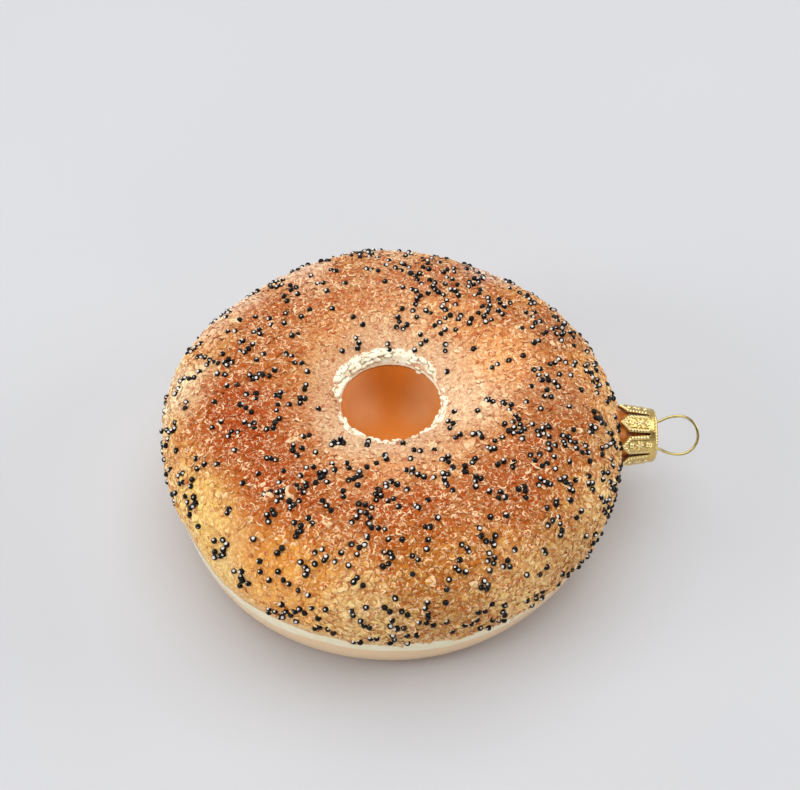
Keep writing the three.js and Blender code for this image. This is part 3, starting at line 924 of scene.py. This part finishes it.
# How heavy the paste is round the hole: bearing in degrees and share of its full size
CREAM_WEIGHT = (
    (0, 0.45), (12, 0.4), (18, 0.05), (32, 0.05), (36, 0.5), (50, 0.8), (75, 0.9), (100, 1.0),
    (130, 0.95), (160, 0.9), (172, 0.7), (180, 0.1), (194, 0.08), (200, 0.5), (215, 0.75), (240, 0.6),
    (262, 0.35), (285, 0.3), (305, 0.45), (330, 0.5), (350, 0.5), (360, 0.45),
)

# Smoother blobs in it: (bearing in degrees, radius), rise, and half sizes along, across and up
CREAM_FOLDS = (
    ((150, 10.3), 0.15, (1.2, 0.7, 0.45)),
    ((157, 10.5), 0.22, (1.2, 0.95, 0.5)),
    ((164, 10.7), 0.25, (1.2, 1.15, 0.52)),
    ((170, 10.8), 0.22, (1.1, 1.2, 0.5)),
    ((175, 10.9), 0.14, (0.8, 1.0, 0.42)),
    ((56, 9.75), -0.1, (0.65, 0.42, 0.34)),
    ((47, 10.6), 0.2, (0.6, 0.4, 0.3)),
)


def cream_bead(material):
    """Crumbs of paste pressed together on a ribbon along the rim, merged into one skin."""
    draw = np.random.default_rng(SEED + 6)
    bearings, shares = zip(*CREAM_WEIGHT)
    bearing = draw.uniform(0, 2 * math.pi, CRUMBS)
    weight = np.interp(np.degrees(bearing), bearings, shares)
    across = draw.uniform(-1, 1, CRUMBS)
    middle, reach, limit = FLAP
    on_flap = (np.abs(np.degrees(bearing) - middle) < reach) & (across < limit)
    kept = (draw.uniform(0, 1, CRUMBS) < weight) & ~on_flap
    bearing, weight, across = bearing[kept], weight[kept], across[kept]
    radius = HOLE_RADIUS + CREAM_REACH * weight * (1 + across)
    centres = on_slope(radius, bearing, 0.15 + 0.45 * weight * (1 - across ** 2))
    size = draw.uniform(0.55, 1.25, len(bearing)) * (0.5 + 0.5 * weight)
    sizes = size[:, None] * draw.uniform((0.9, 0.5, 0.32), (1.3, 0.85, 0.5), (len(bearing), 3))
    axes = round_hole(bearing + draw.normal(size=len(bearing)) * 0.5)
    points, faces = many(BALL, centres, axes, sizes, 0.06, draw)

    places, rises, folds = (np.array(column) for column in zip(*CREAM_FOLDS))
    heading = np.radians(places[:, 0])
    fold_points, fold_faces = many(
        BALL, on_slope(places[:, 1], heading, rises), round_hole(heading), folds, 0, draw)
    faces = join(faces, fold_faces + len(points))
    points = join(points, fold_points)

    around, columns = 240, 10
    turn, section = circle(around), circle(columns)
    heft = np.interp(np.degrees(turn), bearings, shares)[:, None]
    wobble = 1 + 0.15 * np.sin(turn * 23 + 1)[:, None] * np.sin(turn * 9)[:, None]
    half_width = 0.35 + CREAM_REACH * heft * wobble
    out = HOLE_RADIUS - 0.2 + half_width + half_width * np.cos(section)
    rise = (0.2 + 0.45 * heft) * np.sin(section)
    ribbon = on_slope(out.ravel(), turn.repeat(columns), rise.ravel())
    ribbon_faces = grid_faces(around, columns, closed_rows=True) + len(points)
    piece = make_mesh("cream_crumbs", join(points, ribbon), [faces, ribbon_faces],
                      material, "cream_paste")
    skin = piece.modifiers.new("skin", "REMESH")
    skin.mode = "VOXEL"
    skin.voxel_size = CREAM_VOXEL
    soften = piece.modifiers.new("soften", "SMOOTH")
    soften.factor = 0.5
    soften.iterations = 3
    bake_modifiers(piece)
    cleft = piece.data.attributes.new("cleft", "FLOAT", "POINT")
    cleft.data.foreach_set("value", clefts(piece.data, CREAM_VOXEL))


def round_hole(bearing):
    """Axes for each thing at a bearing: round the hole, away from it and up."""
    out, up = polar(1, bearing, 0), stack(0, 0, np.ones(len(bearing)))
    return np.stack([np.cross(up, out), out, up], 1)


def clefts(mesh, spacing):
    """How hollow an evenly meshed surface is at its points: 0 if flat or raised, 1 in a cleft."""
    count = len(mesh.vertices)
    points, normals = np.empty((2, count, 3))
    ends = np.empty((len(mesh.edges), 2), np.int32)
    mesh.vertices.foreach_get("co", points.ravel())
    mesh.vertices.foreach_get("normal", normals.ravel())
    mesh.edges.foreach_get("vertices", ends.ravel())
    one, other = join(ends, ends[:, ::-1]).T
    around = np.bincount(one, minlength=count).clip(1)

    def average(values):
        return np.bincount(one, values[other], count) / around

    middle = stack(*(average(column) for column in points.T))
    hollow = ((middle - points) * normals).sum(1) / spacing
    for _ in range(2):
        hollow = (hollow + average(hollow)) / 2
    return (hollow * CLEFT_GAIN).clip(0, 1)


def on_slope(radius, bearing, rise):
    """Points over the slope round the hole: radius, bearing and height above it."""
    inward = (CREST_RADIUS - radius) / (CREST_RADIUS - HOLE_RADIUS)
    height = HOLE_RIM_HEIGHT + (BODY_HEIGHT - HOLE_RIM_HEIGHT) * np.sqrt(1 - inward.clip(0, 1) ** 2)
    return polar(radius, bearing, height + rise)


# ---- The cap ----

FINGER_HALF = 1.92
POINT_LENGTH = 1.75
CAP_WALL = 0.00025
CAP_ROUNDING = 1.0
KNURLS = 60

# The stamp of a finger: its border's dots, how far they keep from the edge and how far up they go,
# the star, and how far from its middle the two rings are
DOT_PITCH, DOT_RADIUS, DOT_HEIGHT, DOT_INSET, DOTS_END = 0.6, 0.24, 0.17, 0.4, 5.6
STAR_X, STAR_REACH, STAR_HEIGHT = CAP_OPEN_END + 3.75, 0.84, 0.17
RING_AWAY = 1.62


def cap_radius(x):
    share = (x - CAP_OPEN_END) / (CAP_CLOSED_END - CAP_OPEN_END)
    return CAP_OPEN_RADIUS + (CAP_CLOSED_RADIUS - CAP_OPEN_RADIUS) * share


def bump(distance, reach, height):
    """A round-topped bump over its middle."""
    return height * np.sqrt(np.clip(1 - (distance / reach) ** 2, 0, 1))


def groove(distance, reach, depth):
    return -depth * np.exp(-(distance / reach) ** 2)


def emboss(side, x):
    """Height of the stamped pattern: a beaded border, and a star between two small rings."""
    tip = x - CAP_OPEN_END
    slope = FINGER_HALF / POINT_LENGTH
    to_side = FINGER_HALF - np.abs(side)
    to_point = (tip * slope - np.abs(side)) / math.hypot(1, slope)
    to_edge = np.minimum(to_side, to_point)
    run = np.where(to_point > to_side, x, np.abs(side) * math.hypot(1, 1 / slope) + 0.25)
    dot = np.hypot((run / DOT_PITCH) % 1 * DOT_PITCH - DOT_PITCH / 2, to_edge - DOT_INSET)
    border = groove(to_edge - 0.78, 0.13, 0.06) + bump(dot, DOT_RADIUS, DOT_HEIGHT)
    reach = np.hypot(x - STAR_X, side)
    edge = STAR_REACH * (0.66 + 0.34 * np.cos(6 * np.arctan2(side, x - STAR_X)))
    height = border * (tip < DOTS_END) + groove(reach - edge - 0.16, 0.1, 0.08)
    height = height + STAR_HEIGHT * (1 - smoothstep(reach / edge, 0.8, 1.0)) - bump(reach, 0.18, 0.18)
    for middle in (STAR_X - RING_AWAY, STAR_X + RING_AWAY):
        away = np.hypot(x - middle, side)
        height = height + bump(away - 0.34, 0.15, 0.16) + groove(away - 0.58, 0.1, 0.08)
    return height


def cap_crown(material):
    """One sheet of stamped metal: a domed end, and eight fingers cut from its skirt."""
    across, gap = 45, (1.35, 1.65)
    columns = CAP_FINGERS * (across + len(gap))
    finger = np.arange(CAP_FINGERS).repeat(across + len(gap))
    place = np.tile(join(np.linspace(-1, 1, across), gap), CAP_FINGERS)
    shoulder_x = CAP_CLOSED_END - CAP_ROUNDING
    skirt = np.linspace(CAP_OPEN_END, SLOT_END, 92)
    band = np.linspace(SLOT_END, shoulder_x, 5)[1:]
    step = 2 * math.pi / CAP_FINGERS
    first = math.radians(180 - CAP_TURN)
    rows, relief = [], []

    def add_row(x, out, turn, stamp):
        rows.append(about_neck(x, out, turn))
        relief.append(stamp)

    for x in join(skirt, band):
        radius = cap_radius(x)
        half = FINGER_HALF * min(1.0, 0.03 + (x - CAP_OPEN_END) / POINT_LENGTH)
        inside = np.clip(place, -1, 1) * half
        outside = half + (place - 1) * (radius * step / 2 - half) * 2
        turn = first + finger * step + np.where(place > 1, outside, inside) / radius
        stamp = np.where(place > 1, 0, emboss(inside, x))
        flare = 0.12 * smoothstep(CAP_OPEN_END + 2.0 - x, 0, 2.0)
        add_row(x, radius + stamp + flare, turn, stamp)
    rim = cap_radius(shoulder_x)
    turn = np.arctan2(rows[-1][:, 2], rows[-1][:, 1])
    knurl = 0.1 * np.maximum(0, np.sin(KNURLS * turn))
    for angle in quarter(7)[1:]:
        ridge = knurl * math.sin(2 * angle)
        out = rim - CAP_ROUNDING + (CAP_ROUNDING + ridge) * math.cos(angle)
        add_row(shoulder_x + (CAP_ROUNDING + ridge) * math.sin(angle), out, turn, ridge)
    for out in (3.4, 2.4, 1.5, 0.7, 0):
        add_row(CAP_CLOSED_END - 0.12 * (1 - out / 4), out, turn, 0 * turn)
    points = join(*rows[:-1], rows[-1][:1]) + [0, 0, EQUATOR_HEIGHT]
    relief = join(*relief[:-1], [0])
    last = len(points) - 1
    faces = grid_faces(len(rows) - 1, columns)
    row, column = np.divmod(np.arange(len(faces)), columns)
    slots = (place[column] >= 1) & (row < len(skirt) - 1)
    end = fan_faces(last, last - columns + np.arange(columns), outward=True)
    piece = make_mesh("stamped_cap", points, [faces[~slots], end], material, "cap_gilt", relief=relief)
    wall = piece.modifiers.new("wall", "SOLIDIFY")
    wall.thickness = CAP_WALL
    wall.offset = -1
    bake_modifiers(piece)
    return piece


def bake_modifiers(piece):
    """Applies a piece's modifiers to its mesh."""
    graph = bpy.context.evaluated_depsgraph_get()
    mesh = bpy.data.meshes.new_from_object(piece.evaluated_get(graph))
    piece.modifiers.clear()
    piece.data = mesh


# ---- The hanger loop ----

def hanger_loop(material):
    """A round wire drawn out towards the cap, with two legs into its end, leaning to the camera."""
    arc = np.linspace(math.pi - LOOP_OPENING, LOOP_OPENING - math.pi, 97)
    reach = LOOP_RADIUS * np.where(np.cos(arc) < 0, LOOP_STRETCH, 1.0)
    ring = stack(LOOP_CENTRE + reach * np.cos(arc), LOOP_RADIUS * np.sin(arc))
    legs = np.array([[LEG_END, LEG_OFFSET], [CAP_CLOSED_END, LEG_OFFSET + 0.05]])
    line = join(legs, ring, (legs * [1, -1])[::-1])
    for _ in range(6):  # rounds the corners
        line[1:-1] = (line[:-2] + 2 * line[1:-1] + line[2:]) / 4
    lean = math.radians(LOOP_TILT)
    centres = about_neck(line[:, 0], line[:, 1], lean)
    flat = np.array([0, -math.sin(lean), math.cos(lean)])
    side = np.cross(flat, unit(np.gradient(centres, axis=0)))
    turn = circle(20)[:, None]
    offset = np.cos(turn) * side[:, None] + np.sin(turn) * flat
    points = (centres[:, None] + WIRE_RADIUS * offset).reshape(-1, 3)
    points = join(points, centres[[0, -1]]) + [0, 0, EQUATOR_HEIGHT]
    faces = [block[:, ::-1] for block in tube_faces(len(centres), len(turn))]
    return make_mesh("wire_loop", points, faces, material, "loop_wire")


# ---- Stage ----

FLOOR_REACH = 3.0

# Soft lamps that face the middle of the underside: place and width in metres, and power in watts
LAMPS = (
    ("overhead", (-0.04, 0.16, 0.8), 1.0, 7.6),
    ("left", (-0.8, -0.2, 0.35), 0.4, 2.7),
    ("right", (0.8, 0.1, 0.35), 0.4, 2.0),
    ("front", (0.1, -0.9, 0.25), 0.35, 1.0),
)

# The room's light: its strength near the horizon and overhead, and where it fades between them
WORLD_FADE = {"From Min": 0.3, "From Max": 0.75, "To Min": 0.58, "To Max": 0.12}


def floor():
    paint = Paint("floor")
    tone = paint.mix(paint.noise(60, 1), (198, 199, 203), (202, 202, 204))
    corners = [(x * FLOOR_REACH, y * FLOOR_REACH, 0) for x, y in ((-1, -1), (1, -1), (1, 1), (-1, 1))]
    mesh = bpy.data.meshes.new("floor")
    mesh.from_pydata(corners, [], [(0, 1, 2, 3)])
    mesh.materials.append(paint.set(Base_Color=tone, Roughness=0.8))
    add_object("floor", mesh)


def studio():
    """Soft light from the room and from four lamps."""
    world = bpy.data.worlds.new("studio")
    world.use_nodes = True
    tree = world.node_tree
    way = tree.nodes.new("ShaderNodeTexCoord")
    parts = tree.nodes.new("ShaderNodeSeparateXYZ")
    fade = tree.nodes.new("ShaderNodeMapRange")
    tree.links.new(way.outputs["Generated"], parts.inputs[0])
    tree.links.new(parts.outputs["Z"], fade.inputs["Value"])
    for label, value in WORLD_FADE.items():
        fade.inputs[label].default_value = value
    tree.links.new(fade.outputs["Result"], tree.nodes["Background"].inputs["Strength"])
    tree.nodes["Background"].inputs["Color"].default_value = (0.95, 0.97, 1.0, 1)
    bpy.context.scene.world = world
    for name, place, width, power in LAMPS:
        light = bpy.data.lights.new(name, "AREA")
        light.shape = "SQUARE"
        light.size = width
        light.energy = power
        lamp = add_object(name, light)
        lamp.location = place
        lamp.rotation_euler = (-Vector(place)).to_track_quat("-Z", "Y").to_euler()


def camera():
    """The photograph's camera."""
    rise = math.radians(CAMERA_ELEVATION)
    back = Vector((0, -math.cos(rise), math.sin(rise)))
    target = Vector((np.array(CAMERA_TARGET) + AXIS) / 1000)
    lens = bpy.data.cameras.new("camera")
    lens.lens = CAMERA_LENS
    lens.sensor_width = 36
    lens.clip_start = 0.01
    made = add_object("camera", lens)
    made.location = target + back * CAMERA_DISTANCE / 1000
    made.rotation_euler = back.to_track_quat("Z", "Y").to_euler()
    bpy.context.scene.camera = made


# ---- The ornament ----

bpy.context.scene.view_settings.view_transform = "Standard"
floor()
studio()
camera()
glass_body(base_paint())
dish_lining(dish_paint())
neck(neck_paint())
coat = crust_coat(coat_paint())
clear_glass = grit_paint()
for number, kind in enumerate(GRIT, SEED + 1):
    grit(*kind, clear_glass, number)
chips(clear_glass)
beads(bead_paint())
cream_bead(cream_paint())
cap = cap_crown(cap_paint())
loop = hanger_loop(wire_paint())
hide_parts("bagel_body")
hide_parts("cap_crown")
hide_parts("hanger_loop")
